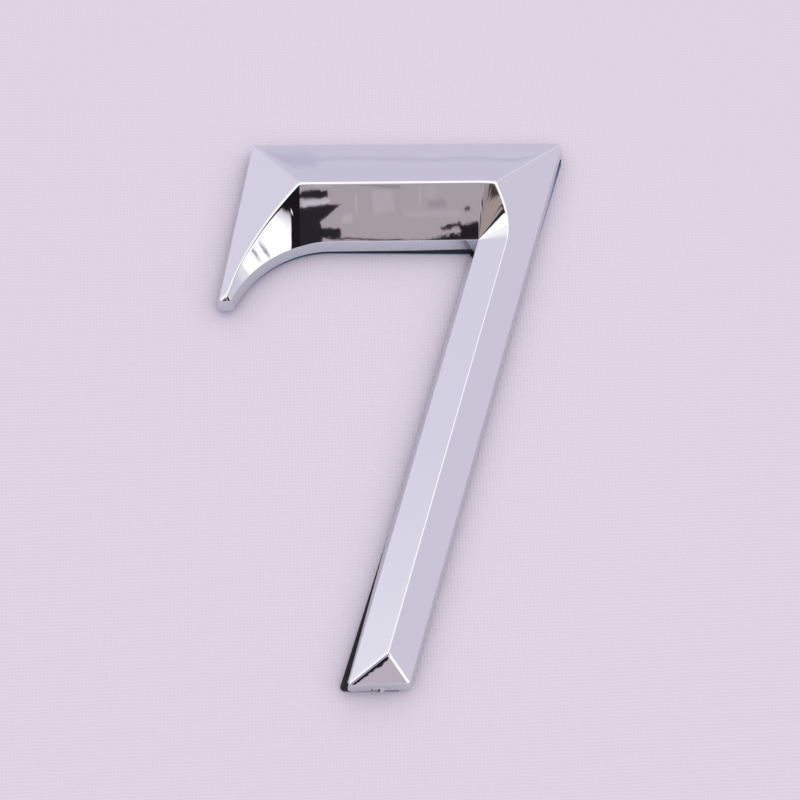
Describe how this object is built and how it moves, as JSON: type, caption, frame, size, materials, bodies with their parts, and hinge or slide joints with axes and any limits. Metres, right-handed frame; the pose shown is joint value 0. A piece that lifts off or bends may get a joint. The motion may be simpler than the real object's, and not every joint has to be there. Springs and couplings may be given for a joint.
{
  "type": "self-adhesive house number",
  "caption": "Stick-on house number, the numeral 7: chrome-plated moulding with bevelled facets and a curved claw, on a black foam adhesive pad with a blue release liner.",
  "frame": {"origin": "under the middle of the digit, on the surface it lies on", "axes": "+Z out of the digit's face, +Y up the digit, +X to its right as it is read"},
  "size_m": [0.0327, 0.0509, 0.005],
  "materials": {
    "chrome_plating": "mirror-bright chrome plating on moulded ABS",
    "adhesive_foam": "black closed-cell adhesive foam",
    "liner_film": "blue release film"
  },
  "bodies": {
    "root": {"digit_moulding": "chrome_plating", "foam_pad": "adhesive_foam", "release_liner": "liner_film"}
  },
  "joints": []
}
